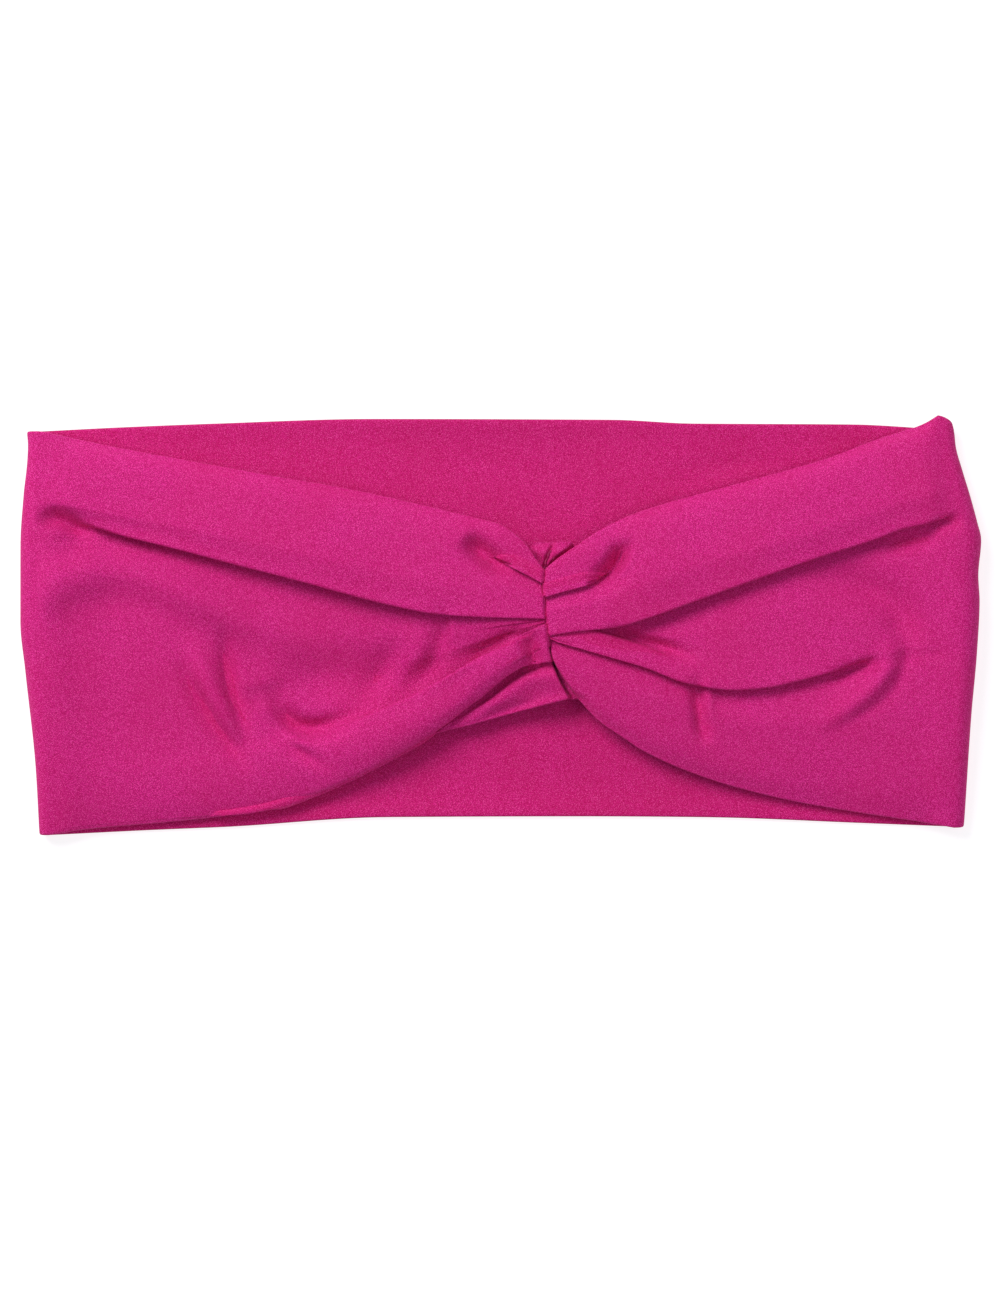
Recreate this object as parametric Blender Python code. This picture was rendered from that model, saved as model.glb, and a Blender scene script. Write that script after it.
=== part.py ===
"""Wide stretch-knit sports headband, lying flat with its gathered back on top.

The band is a loop of two knit strips, an outer one and a lining, sewn together along
both long edges. The front half lies flat. At each side the strips fold over and come
back on top, and their ends are gathered and sewn together in one short seam.

Frame: metres, +X along the flat loop, +Y across the strip, +Z up from the surface that
the band lies on. The origin is the centre of the footprint.
"""

import math

import bmesh
import bpy
import numpy as np

MM = 0.001

# Driving dimensions of the loop. A stack is both layers with the gap between them.
LOOP_WIDTH = 230 * MM
KNIT = 0.7 * MM
LAYER_GAP = 0.8 * MM
LOOP_GAP = 5.2 * MM
STACK = 2 * KNIT + LAYER_GAP
LOOP_HEIGHT = 2 * STACK + LOOP_GAP
FOLD_RADIUS = LOOP_HEIGHT / 2
FOLD_CENTRE = LOOP_WIDTH / 2 - FOLD_RADIUS

# The two back halves swing about these lines, and stop short of the gathered ends.
HINGE_X = 105.7 * MM
HINGE_GAP = 0.5 * MM
LEFT_END_X = 0.0
RIGHT_END_X = 22 * MM
END_GAP = 0.3 * MM

# The gathered seam and what is sewn into it.
PLEATS = 4
PLEAT_HEIGHT = 3 * MM
SEAM_CLEARANCE = 0.55 * MM
SEAM_THREAD = 0.5 * MM
ALLOWANCE_WIDTH = 8 * MM
ALLOWANCE_THICKNESS = 1.3 * MM
ELASTIC_WIDTH = 6 * MM
ELASTIC_THICKNESS = 0.3 * MM
REST_GAP = 0.3 * MM

# Sewing threads. The insets are measured from the edge of the cloth.
EDGE_THREAD = 0.4 * MM
EDGE_INSET = 1.5 * MM
GATHER_THREAD = 0.3 * MM
GATHER_INSET = 3.5 * MM
GATHER_SPAN = 0.92
OVERLOCK_THREAD = 0.5 * MM

# How finely the surfaces are divided.
TURN_STEPS = 8
FLAT_STEPS = 4
FRONT_ACROSS = 16
BACK_ALONG = 8
BACK_ACROSS = 24
END_ALONG = 2
ALLOWANCE_ALONG = 2
ALLOWANCE_ACROSS = 8
GATHER_STEPS = 24
SEAM_STEPS = 13

# Outlines in plan, in millimetres: (x, y) along each edge, and (y, x) down each side.
FRONT_TOP = [(-115, 46.8), (-60, 49.0), (-10, 49.9), (60, 49.1), (115, 47.2)]
FRONT_BOTTOM = [(-115, -50.2), (-60, -47.0), (-10, -45.8), (60, -46.3), (115, -48.4)]
LEFT_TOP = [(-115, 46.8), (-84, 41.0), (-48, 33.4), (-8, 25.8), (2, 22.5), (11, 19.0)]
LEFT_BOTTOM = [(-115, -50.2), (-84, -46.9), (-54, -43.0), (-34, -35.8), (-12, -24.5), (17, -17.8)]
RIGHT_TOP = [(11, 19.0), (18, 20.0), (33, 27.1), (55, 34.1), (85, 42.2), (107, 50.2), (115, 50.2)]
RIGHT_BOTTOM = [(11, -17.8), (22, -22.4), (40, -32.4), (62, -40.1), (92, -45.6), (115, -48.4)]
SIDE_LEFT = [(-50.2, -112), (-25, -113.8), (10, -115), (47, -113.6)]
SIDE_RIGHT = [(-48.4, 112.2), (-20, 114), (21, 115), (50.2, 112)]
SEAM_LINE = [(-17.8, 17.6), (-8.6, 12.1), (-2.6, 11.4), (6.2, 11.2), (12.2, 10.4), (20, 13.1)]
SEAM_LOW = SEAM_LINE[0][0] * MM
SEAM_HIGH = SEAM_LINE[-1][0] * MM

COLOURS = {
    "outer_knit": ((0.604, 0.021, 0.190), 0.85),
    "lining_knit": ((0.571, 0.019, 0.175), 0.88),
    "sewing_thread": ((0.520, 0.017, 0.160), 0.6),
    "clear_elastic": ((0.700, 0.700, 0.680), 0.35),
}


def through(knots):
    """A smooth function through (position, value) knots in millimetres, in metres."""
    at, value = np.array(knots, float).T * MM
    slope = np.gradient(value, at)

    def curve(position):
        position = min(max(position, at[0]), at[-1])
        i = min(int(np.searchsorted(at, position, side="right")) - 1, len(at) - 2)
        step = at[i + 1] - at[i]
        t = (position - at[i]) / step
        ease = t * t * (3 - 2 * t)
        lead = t * (1 - t) * (1 - t) * step
        tail = t * t * (t - 1) * step
        return float(value[i] + ease * (value[i + 1] - value[i]) + lead * slope[i] + tail * slope[i + 1])

    return curve


front_top, front_bottom = through(FRONT_TOP), through(FRONT_BOTTOM)
left_top, left_bottom = through(LEFT_TOP), through(LEFT_BOTTOM)
right_top, right_bottom = through(RIGHT_TOP), through(RIGHT_BOTTOM)
side_left, side_right = through(SIDE_LEFT), through(SIDE_RIGHT)
seam_x = through(SEAM_LINE)


def clear_scene():
    for obj in list(bpy.data.objects):
        bpy.data.objects.remove(obj)


def make_collection(name):
    collection = bpy.data.collections.new(name)
    bpy.context.scene.collection.children.link(collection)
    return collection


def make_material(name):
    colour, roughness = COLOURS[name]
    material = bpy.data.materials.new(name)
    material.use_nodes = True
    shader = material.node_tree.nodes["Principled BSDF"]
    shader.inputs["Base Color"].default_value = (*colour, 1)
    shader.inputs["Roughness"].default_value = roughness
    shader.inputs["Metallic"].default_value = 0
    return material


def add_body(name, location):
    """An empty on the joint's line, which the moving pieces hang from."""
    body = bpy.data.objects.new(name, None)
    body.location = location
    band.objects.link(body)
    bpy.context.view_layer.update()
    return body


def add_object(name, data, material, body):
    obj = bpy.data.objects.new(name, data)
    data.materials.append(material)
    obj.parent = body
    obj.matrix_parent_inverse = body.matrix_world.inverted()
    band.objects.link(obj)
    return obj


def knit_solid(name, place, along, across, thickness, material, body):
    """A closed sheet: place(u, v, depth) is a point of it, with u and v from 0 to 1."""
    bm = bmesh.new()
    bmesh.ops.create_grid(bm, x_segments=along, y_segments=across, size=0.5)
    face_verts = set(bm.verts)
    bmesh.ops.extrude_face_region(bm, geom=bm.faces[:])
    for vert in bm.verts:
        depth = 0.0 if vert in face_verts else thickness
        vert.co = place(vert.co.x + 0.5, vert.co.y + 0.5, depth)
    bmesh.ops.recalc_face_normals(bm, faces=bm.faces[:])
    if bm.calc_volume(signed=True) < 0:
        bmesh.ops.reverse_faces(bm, faces=bm.faces[:])
    mesh = bpy.data.meshes.new(name)
    bm.to_mesh(mesh)
    bm.free()
    mesh.shade_smooth()
    mesh.set_sharp_from_angle(angle=math.radians(40))
    return add_object(name, mesh, material, body)


def thread(name, points, diameter, material, body):
    """A sewing thread as a round line through points."""
    curve = bpy.data.curves.new(name, "CURVE")
    curve.dimensions = "3D"
    curve.bevel_depth = diameter / 2
    curve.bevel_resolution = 1
    curve.use_fill_caps = True
    spline = curve.splines.new("POLY")
    spline.points.add(len(points) - 1)
    for point, co in zip(spline.points, points):
        point.co = (*co, 1)
    return add_object(name, curve, material, body)


def section_stations():
    """Distances round the front strip's section: close at its turns, wide on its flat."""
    overlap = FOLD_CENTRE - (HINGE_X + HINGE_GAP)
    turn = math.pi * FOLD_RADIUS
    bends = [overlap + turn * i / TURN_STEPS for i in range(TURN_STEPS + 1)]
    flats = [overlap + turn + FOLD_CENTRE * i / FLAT_STEPS for i in range(1, FLAT_STEPS)]
    half = [0.0] + bends + flats
    middle = overlap + turn + FOLD_CENTRE
    return half + [middle] + [2 * middle - at for at in reversed(half)]


STATIONS = section_stations()


def loop_section(at, inset):
    """(x, z) of the front strip's section: left turn, flat bottom, right turn.

    at is the distance round it from the left hinge line. inset is the depth below the
    outer face, so the turns get tighter as it grows.
    """
    overlap = FOLD_CENTRE - (HINGE_X + HINGE_GAP)
    turn = math.pi * FOLD_RADIUS
    side = -1
    if at > STATIONS[-1] / 2:
        at, side = STATIONS[-1] - at, 1
    if at < overlap:
        x, z = HINGE_X + HINGE_GAP + at, LOOP_HEIGHT - inset
    elif at < overlap + turn:
        angle = (at - overlap) / FOLD_RADIUS
        x = FOLD_CENTRE + (FOLD_RADIUS - inset) * math.sin(angle)
        z = FOLD_RADIUS + (FOLD_RADIUS - inset) * math.cos(angle)
    else:
        x, z = FOLD_CENTRE - (at - overlap - turn), inset
    return side * x, z


def strip_edges(x, z):
    """The strip's two edges at x: the front outline low down, the back outline on top."""
    top, bottom = (left_top, left_bottom) if x < 0 else (right_top, right_bottom)
    share = z / LOOP_HEIGHT
    low = (1 - share) * front_bottom(x) + share * bottom(x)
    high = (1 - share) * front_top(x) + share * top(x)
    return low, high


def front_point(station, v, depth):
    """A point of the front half and its side turns. v runs from the bottom edge up."""
    x, z = loop_section(STATIONS[round(station)], depth)
    low, high = strip_edges(x, z)
    y = low + v * (high - low)
    outline = side_left if x < 0 else side_right
    reach = max(0.0, (abs(x) - HINGE_X) / (LOOP_WIDTH / 2 - HINGE_X))
    pull = reach * (LOOP_WIDTH / 2 - abs(outline(y)))
    return x - math.copysign(pull, x), y, z


def back_point(side, x, v, depth):
    """A point of a back half: pleats rise towards the gathered seam."""
    top, bottom = (left_top, left_bottom) if side < 0 else (right_top, right_bottom)
    low, high = bottom(x), top(x)
    start = side * HINGE_X
    rise = min(1.0, ((x - start) / (seam_x(0) - start)) ** 2)
    pleat = 0.5 - 0.5 * math.cos(2 * math.pi * PLEATS * v)
    return x, low + v * (high - low), LOOP_HEIGHT + PLEAT_HEIGHT * rise * pleat - depth


def back_panel(side, start_depth):
    """place() for the swinging part of a back half, start_depth below its outer face."""
    begin = side * (HINGE_X - HINGE_GAP)
    end = LEFT_END_X - END_GAP if side < 0 else RIGHT_END_X + END_GAP

    def place(u, v, depth):
        return back_point(side, begin + u * (end - begin), v, start_depth + depth)

    return place


def gathered_end(side, start_depth):
    """place() for the last stretch of a back half, from its panel to the seam."""
    begin = LEFT_END_X if side < 0 else RIGHT_END_X

    def place(u, v, depth):
        x, y, z = back_point(side, begin, v, start_depth + depth)
        end_y = seam_y(v)
        end_x = seam_x(end_y) + side * SEAM_CLEARANCE
        end_z = back_point(side, seam_x(0), v, start_depth + depth)[2]
        return x + u * (end_x - x), y + u * (end_y - y), z + u * (end_z - z)

    return place


def seam_y(v):
    return SEAM_LOW + v * (SEAM_HIGH - SEAM_LOW)


def under_seam(start, width, top):
    """place() for a strip that lies under the seam, width wide from start beside it."""

    def place(u, v, depth):
        y = seam_y(v)
        return seam_x(y) + start + u * width, y, top - depth

    return place


def make_front():
    for name, start, material in (("outer", 0.0, outer), ("lining", KNIT + LAYER_GAP, lining)):
        def place(u, v, depth, start=start):
            return front_point(u * (len(STATIONS) - 1), v, start + depth)

        knit_solid(f"{name}_front", place, len(STATIONS) - 1, FRONT_ACROSS, KNIT, material, front)
    inset = EDGE_INSET / (front_top(0) - front_bottom(0))
    for name, v in (("top", 1 - inset), ("bottom", inset)):
        points = [front_point(i, v, STACK / 2) for i in range(1, len(STATIONS) - 1)]
        thread(f"{name}_edge_seam_front", points, EDGE_THREAD, sewing, front)


def make_back(side, word, body):
    """The swinging part of a back half: two knit layers and its stretch of the edge seams."""
    for name, start, material in (("outer", 0.0, outer), ("lining", KNIT + LAYER_GAP, lining)):
        place = back_panel(side, start)
        knit_solid(f"{name}_back_{word}", place, BACK_ALONG, BACK_ACROSS, KNIT, material, body)
    middle = back_panel(side, STACK / 2)
    inset = EDGE_INSET / (SEAM_HIGH - SEAM_LOW)
    for name, v in (("top", 1 - inset), ("bottom", inset)):
        points = [middle(i / BACK_ALONG, v, 0) for i in range(BACK_ALONG + 1)]
        thread(f"{name}_edge_seam_{word}", points, EDGE_THREAD, sewing, body)


def make_gathered_end(side, word):
    """A gathered end, drawn up by its own thread between the two layers."""
    for name, start, material in (("outer", 0.0, outer), ("lining", KNIT + LAYER_GAP, lining)):
        place = gathered_end(side, start)
        knit_solid(f"{name}_gather_{word}", place, END_ALONG, BACK_ACROSS, KNIT, material, gather)
    middle = gathered_end(side, STACK / 2)
    u = 1 - GATHER_INSET / abs(middle(1, 0.5, 0)[0] - middle(0, 0.5, 0)[0])
    first = (1 - GATHER_SPAN) / 2
    points = [middle(u, first + GATHER_SPAN * i / GATHER_STEPS, 0) for i in range(GATHER_STEPS + 1)]
    thread(f"gathering_thread_{word}", points, GATHER_THREAD, sewing, gather)


def make_seam():
    """What joins the two gathered ends: stitching, raw ends pressed open, elastic, overlock."""
    ys = np.linspace(SEAM_LOW, SEAM_HIGH, SEAM_STEPS + 1)
    z = LOOP_HEIGHT - STACK / 2
    thread("gather_seam_stitching", [(seam_x(y), y, z) for y in ys], SEAM_THREAD, sewing, gather)
    top = LOOP_HEIGHT - STACK - REST_GAP
    for side, word in ((-1, "left"), (1, "right")):
        place = under_seam(side * REST_GAP, side * ALLOWANCE_WIDTH, top)
        knit_solid(
            f"seam_allowance_{word}", place, ALLOWANCE_ALONG, ALLOWANCE_ACROSS,
            ALLOWANCE_THICKNESS, outer, gather,
        )
        x = side * (REST_GAP + ALLOWANCE_WIDTH + REST_GAP + OVERLOCK_THREAD / 2)
        points = [(seam_x(y) + x, y, top - ALLOWANCE_THICKNESS / 2) for y in ys]
        thread(f"overlock_stitching_{word}", points, OVERLOCK_THREAD, sewing, gather)
    place = under_seam(-ELASTIC_WIDTH / 2, ELASTIC_WIDTH, top - ALLOWANCE_THICKNESS - REST_GAP)
    knit_solid(
        "seam_elastic", place, ALLOWANCE_ALONG, ALLOWANCE_ACROSS, ELASTIC_THICKNESS, clear, gather,
    )


clear_scene()
band = make_collection("sports_headband")
outer = make_material("outer_knit")
lining = make_material("lining_knit")
sewing = make_material("sewing_thread")
clear = make_material("clear_elastic")

hinge_z = LOOP_HEIGHT - STACK / 2
front = add_body("front_body", (0, 0, 0))
back_left = add_body("back_left_body", (-HINGE_X, 0, hinge_z))
back_right = add_body("back_right_body", (HINGE_X, 0, hinge_z))
gather = add_body("gather_body", (seam_x(0), 0, hinge_z))

make_front()
make_back(-1, "left", back_left)
make_back(1, "right", back_right)
make_gathered_end(-1, "left")
make_gathered_end(1, "right")
make_seam()
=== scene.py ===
# %% [markdown]
# # A gathered sports headband, lying flat
#
# The object is one loop of double stretch knit. Its front half lies flat. At each side the
# loop folds over, and its back half comes back on top, where its two ends are gathered into
# pleats and sewn together. The frame gives the solid parts and how they move. This script
# makes the cloth around them: each stretch of cloth is a grid that is laid into folds.
#
# Lengths in this script are in millimetres until a mesh is made, and the frame is in metres.

# %% Load the frame and keep its box
import math

import bmesh
import bpy
import numpy as np
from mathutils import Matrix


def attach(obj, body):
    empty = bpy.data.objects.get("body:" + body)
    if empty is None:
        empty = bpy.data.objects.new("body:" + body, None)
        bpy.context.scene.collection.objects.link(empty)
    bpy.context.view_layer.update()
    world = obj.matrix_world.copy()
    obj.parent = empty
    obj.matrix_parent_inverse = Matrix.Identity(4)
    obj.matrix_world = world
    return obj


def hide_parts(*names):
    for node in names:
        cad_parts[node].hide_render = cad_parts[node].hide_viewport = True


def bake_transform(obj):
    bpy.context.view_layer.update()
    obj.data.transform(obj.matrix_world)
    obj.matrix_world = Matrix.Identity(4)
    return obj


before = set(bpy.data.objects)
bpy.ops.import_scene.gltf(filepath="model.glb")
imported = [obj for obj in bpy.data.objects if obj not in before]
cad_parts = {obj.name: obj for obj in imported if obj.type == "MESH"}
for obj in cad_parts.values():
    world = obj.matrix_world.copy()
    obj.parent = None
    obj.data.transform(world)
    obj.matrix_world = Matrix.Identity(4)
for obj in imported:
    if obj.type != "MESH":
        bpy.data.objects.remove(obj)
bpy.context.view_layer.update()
scene = bpy.context.scene
MM = 0.001

# %% [markdown]
# ## Smooth lines from a few points
#
# An edge of cloth is a long calm curve, so a handful of points along it is enough. A cubic
# between each two points would do, but a plain one swings past its points where the line
# turns. This one takes each slope from the two rises beside it, and never overshoots.

# %% A smooth line through points
def through(knots):
    """A function through (position, value) knots that doesn't overshoot them."""
    at, value = np.array(sorted(knots), float).T
    rise = np.diff(value) / np.diff(at)
    product = rise[:-1] * rise[1:]
    total = np.where(product > 0, rise[:-1] + rise[1:], 1)
    inner = np.where(product > 0, 2 * product / total, 0)
    slope = np.concatenate([rise[:1], inner, rise[-1:]])

    def line(position):
        p = np.clip(position, at[0], at[-1])
        i = np.clip(np.searchsorted(at, p, side="right") - 1, 0, len(at) - 2)
        step = at[i + 1] - at[i]
        t = (p - at[i]) / step
        ease = t * t * (3 - 2 * t)
        lead = t * (1 - t) ** 2 * step * slope[i]
        tail = t * t * (t - 1) * step * slope[i + 1]
        return value[i] + ease * (value[i + 1] - value[i]) + lead + tail

    return line


def ease(t):
    """0 before 0, 1 after 1, and smooth between."""
    t = np.clip(t, 0, 1)
    return t * t * (3 - 2 * t)


def mix(a, b, share):
    """a at share 0, b at share 1."""
    return a + (b - a) * share


print("a line through 0, 2 and 2, halfway up:", through([(0, 0), (1, 2), (3, 2)])(0.5))

# %% [markdown]
# ## The outline of the loop
#
# Seen from above, the loop has two side folds, two long edges of the front half, and the seam
# line where the gathered ends meet. A side fold is a half turn of cloth. It is roundest in the
# middle of the strip and pressed flatter at its corners.

# %% Side folds, front edges and the seam line
SIDE_LEFT = through([
    (-50.2, -110.6), (-34, -111.4), (-11, -113.8), (1, -115), (19, -115), (31, -114.3),
    (40, -113.4), (43, -113.3), (46.5, -113.6),
])
SIDE_RIGHT = through([
    (-48.2, 110.6), (-22, 112.2), (-6, 113.6), (6, 114.2), (12, 113.9), (20.5, 114.6),
    (25, 113.6), (31, 112), (37, 110.2), (43, 108.6), (46, 108.3), (48.5, 107.8), (50.3, 106.6),
])
SEAM = through([
    (-17.2, 16.2), (-11.5, 13.3), (-8, 12.1), (-4.8, 11.3), (1.9, 10.6), (9.6, 10), (13.8, 10.2),
    (19.3, 12.2),
])
FRONT_TOP = through([
    (-113, 46.3), (-89, 47.5), (-66, 48.4), (-28, 49.5), (30, 49.3), (49, 48.4), (87, 48.2),
    (109, 47.0),
])
FRONT_BOTTOM = through([
    (-111, -50.2), (-85, -48.9), (-66, -48.1), (-28, -45.8), (20, -45.6), (49, -45.8),
    (87, -47.2), (112, -48.2),
])
FRONT_END = 109
print("from side to side, mm:", round(float(SIDE_RIGHT(0) - SIDE_LEFT(0)), 1))

# %% Places beside the side folds and the seam
HALF_WIDTH = 50
ROUND_MIDDLE = 4.3
ROUND_CORNER = 2.4
ROUND_POWER = 2.5
SPLIT = 1.8
SPLIT_FROM = -8
SPLIT_OVER = 9


def fold_radius(y):
    """The radius of a side fold at y."""
    middle = 1 - np.abs(np.clip(y / HALF_WIDTH, -1, 1)) ** ROUND_POWER
    return mix(ROUND_CORNER, ROUND_MIDDLE, middle)


def fold_line(side, y):
    """x of the line that a side fold turns about. side is -1 on the left and 1 on the right."""
    outline = SIDE_LEFT(y) if side < 0 else SIDE_RIGHT(y)
    return outline - side * fold_radius(y)


def seam_line(side, y):
    """x of the end of a half. Below the gathers the right half stands a little off the seam."""
    off = SPLIT * np.clip((SPLIT_FROM - y) / SPLIT_OVER, 0, 1)
    return SEAM(y) + (off if side > 0 else 0)


def along(side, points):
    """A crease drawn as (x, y) points, as y against the share of the way from fold to seam."""
    x, y = np.array(points, float).T
    start = fold_line(side, y)
    share = np.clip((x - start) / (seam_line(side, y) - start), 0, 1)
    apart = {round(s, 4): v for s, v in zip(share, y)}
    return through(list(apart.items()))


print("radius of the side folds, mm:", fold_radius(0), "and", round(fold_radius(45), 1))

# %% [markdown]
# ## Folds across the strip
#
# Cloth can't end at a pleat: it turns under, runs back a little way, turns again and comes out
# below. So the cross-section of the strip is one smooth line that does exactly that. It is
# drawn as a B-spline over a short list of control points. Each fold adds nine, and they slide
# from plain cloth to a full pleat as the strip nears the seam. A lip is pressed tighter there.

# %% One fold of the cross-section
LIP = 1.0
TIGHT_LIP = 0.45
LIP_REACH = 0.25
HIDDEN_TURN = 0.6
HIDDEN_LENGTH = 0.7
FOLD_ROOM = 2.6
FOLD_STEPS = (1.0, 0.7, 0.45, 0.25, 0.05, -0.15, -0.35, -0.6, -1.0)


def fold(crease, lip, low, overlap, amount, near, far, ground, facing=1, radius=LIP):
    """The control points of a pleat whose lip lies on crease.

    With facing 1 the cloth above the crease overlaps the cloth below it, and with -1 the
    cloth below overlaps the cloth above. lip is the height of the lip, and low the height
    where the hidden cloth comes out, overlap away. near and far are the room on the lip's
    side and on the other. radius is the lip's roundness. amount goes from no pleat, 0, where
    the points lie on the height ground(y), to 1.
    """
    near, far = np.minimum(FOLD_ROOM, near), np.minimum(FOLD_ROOM, far)
    under = lip - 2 * radius
    deep = np.minimum(under - 2 * HIDDEN_TURN, low)
    back = overlap + HIDDEN_LENGTH
    panel_end = ground(crease + facing * near)
    pleat = [
        (near, panel_end), (near * 0.35, (panel_end + lip) / 2), (-LIP_REACH, lip),
        (-LIP_REACH, under), (overlap, under), (back, under), (back, deep),
        (overlap * 0.4, deep), (-far, low),
    ]
    points = []
    for (offset, height), step in zip(pleat, FOLD_STEPS):
        plain = step * np.where(step > 0, near, far)
        height = mix(ground(crease + facing * plain), height, amount)
        points.append((crease + facing * mix(plain, offset, amount), height))
    return points if facing > 0 else points[::-1]


print("a fold adds", len(FOLD_STEPS), "control points")

# %% [markdown]
# Between two folds lies a panel. Its height runs smoothly from one fold to the next, and most
# panels are puffed a little in the middle, as soft cloth is between two lines that hold it.

# %% Panels between the folds
FLAP_RISE = 0.7
ROOM_SHARE = 0.3
SHORT_LIFT = 0.3
SHORT_STEP = 1.0


def panel(upper, lower, ground, count):
    """Control points across a panel of cloth from upper to lower, at the heights ground(y)."""
    shares = [(i + 1) / (count + 1) for i in range(count)]
    return [(mix(upper, lower, t), ground(mix(upper, lower, t))) for t in shares]


def room(upper, lower, share=ROOM_SHARE):
    """The part of a panel that the fold beside it may bend."""
    return (upper - lower) * share


def down(y, upper, lower):
    """0 at a panel's upper line, 1 at its lower line."""
    return np.clip((upper - y) / (upper - lower), 0, 1)


def crown(y, upper, lower):
    """1 across the middle of a panel, and rounded off to 0 at its upper and lower lines."""
    return 1 - (2 * down(y, upper, lower) - 1) ** 4


def past(y, crease):
    """0 above a crease and 1 below it, smoothly over the room that a fold may take."""
    return ease((crease + FOLD_ROOM - y) / (2 * FOLD_ROOM))


def grown(u, start, over):
    """0 until the share u reaches start, and 1 when it is over further on."""
    return ease((u - start) / over)


print("crown across a panel:", [round(float(crown(y, 8, 0)), 2) for y in range(9)])

# %% [markdown]
# The long edges of the strip are turned: the outer knit wraps round the edge and ends against
# the lining. In the section that is about a millimetre of roundness, and it is what catches
# the light as a thin rim.

# %% The turned edge, and the B-spline
EDGE_THICKNESS = 1.4
EDGE_WRAP = 1.1
EDGE_FLAT = 0.6
EDGE_OVERHANG = 0.1


def edge(y, height, inward):
    """Control points of a turned edge: (y, height, depth below the face). inward is -1 or 1."""
    return [
        (y + inward * EDGE_WRAP, height, EDGE_THICKNESS),
        (y + inward * EDGE_WRAP * 0.45, height, EDGE_THICKNESS),
        (y - inward * EDGE_OVERHANG, height, EDGE_THICKNESS),
        (y - inward * EDGE_OVERHANG, height, 0.1),
        (y + inward * EDGE_FLAT, height, 0.0),
    ]


def spline_weights(controls, samples):
    """Cubic B-spline weights: one row for each sample, one column for each control point."""
    spans = controls - 1
    at = np.linspace(0, spans - 1e-9, samples)
    span = at.astype(int)
    t = at - span
    basis = [
        (1 - t) ** 3 / 6, (3 * t**3 - 6 * t**2 + 4) / 6,
        (-3 * t**3 + 3 * t**2 + 3 * t + 1) / 6, t**3 / 6,
    ]
    weights = np.zeros((samples, controls))
    for k, share in enumerate(basis):
        column = np.clip(span - 1 + k, 0, controls - 1)
        np.add.at(weights, (np.arange(samples), column), share)
    return weights


print("weights of 5 points halfway along:", spline_weights(5, 3)[1].round(3))

# %% [markdown]
# ## The left half
#
# From its upper edge down, the left half has a small flap that is only there near the seam, a
# wide flap, a valley, a rolled ridge and a narrow strap under the ridge. Each line below is
# where one of them ends.

# %% Creases of the left half
LEFT_TOP = [
    (-110, 46.4), (-91, 42.4), (-69, 38.4), (-54, 35.7), (-38.7, 33.1), (-19, 28.8), (-4.2, 25.2),
    (-0.6, 24.2), (3, 22), (6.8, 18), (10.2, 13.4),
]
LEFT_SHORT = [(-110, 36), (-60, 29), (-20, 22.5), (-6.4, 19), (-2, 16.2), (5, 12.7), (10, 10)]
LEFT_MAIN = [
    (-110, 25.5), (-99, 23.4), (-91, 21.6), (-76, 17.9), (-62, 14.2), (-48, 10.6), (-37, 7.6),
    (-26, 4.8), (-15.3, 2.8), (-4.3, 2.1), (10.4, 1.7),
]
LEFT_RIDGE = [
    (-110, -34), (-70, -31), (-52, -26.5), (-41, -23.8), (-33.7, -21.4), (-26, -18.3), (-19, -15.2),
    (-11.6, -11.3), (-4.3, -7), (3.1, -3), (10.4, 0.3),
]
LEFT_LOWER = [
    (-110, -46.5), (-90, -45.2), (-78, -44.8), (-70, -45), (-64, -44.7), (-58, -44), (-54, -43.1),
    (-50, -42), (-46, -40.6), (-40, -38.2), (-30, -33.5), (-20, -27.9), (-12, -22.5), (-7, -18.5),
    (-2, -14.5), (3, -10.8), (6, -9.4), (9, -9.1), (12.2, -8.9),
]
LEFT_BOTTOM = [
    (-110, -50), (-100, -48.7), (-80, -46.9), (-70, -45.9), (-62, -44.8), (-56, -43.6),
    (-50, -41.4), (-45, -39.2), (-40, -36.8), (-30, -31.9), (-20, -27.2), (-14, -25.2),
    (-7.9, -23.8), (3.1, -20.8), (16.3, -17.4),
]
print("points along the left half's lip:", len(LEFT_MAIN))

# %% [markdown]
# The heights change on the way to the seam too, and the lips get tighter. Each line below is
# a height, or the lips' radius, against the share of the way from the side fold, 0, to the
# seam, 1. The upper edge and the puff of the wide flap are alike on both halves.

# %% Heights of the left half
TOP_EDGE = [(0, 4.8), (0.06, 3.6), (0.3, 3.9), (0.6, 4.3), (0.8, 5.4), (0.93, 7.6), (1, 9)]
PUFF = 1.6
PUFF_LOST = 1.3
LEFT_HEIGHTS = {
    "top edge": TOP_EDGE,
    "main lip": [(0, 8.4), (0.1, 8.6), (0.3, 8.6), (0.6, 9.2), (0.9, 10), (1, 10)],
    "below it": [
        (0, 8), (0.08, 5.6), (0.15, 4.2), (0.5, 4), (0.7, 4.8), (0.85, 7.4), (0.95, 9), (1, 9),
    ],
    "low edge": [(0, 4.8), (0.1, 3.4), (0.35, 3.2), (0.6, 4.4), (0.8, 6), (0.95, 7.2), (1, 8)],
    "valley's crown": [(0, 2.6), (0.25, 2.4), (0.5, 1.2), (0.8, 0), (1, 0)],
    "ridge": [(0, 0), (0.3, 0.6), (0.5, 2.4), (0.7, 4.2), (0.9, 3.4), (1, 1.6)],
    "dip above it": [(0, 0), (0.45, 0), (0.6, 1.2), (0.75, 2), (0.9, 1.2), (1, 0.2)],
    "lip radius": [(0, LIP), (0.7, LIP), (0.92, TIGHT_LIP), (1, TIGHT_LIP)],
}


def flap_height(y, top, main, top_edge, main_lip, puff):
    """The height of the wide flap, which rises from the edge to the lip with a puff between."""
    rise = mix(top_edge, main_lip, down(y, top, main) ** FLAP_RISE)
    return rise + puff * crown(y, top, main)


print("lines of height on the left half:", len(LEFT_HEIGHTS))

# %% [markdown]
# The section puts these together from the upper edge down: edge, panel, fold, panel, and so on
# to the lower edge. The ridge laps upwards, so its fold faces the other way. The strap below it
# bulges where it comes out from under the ridge.

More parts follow.
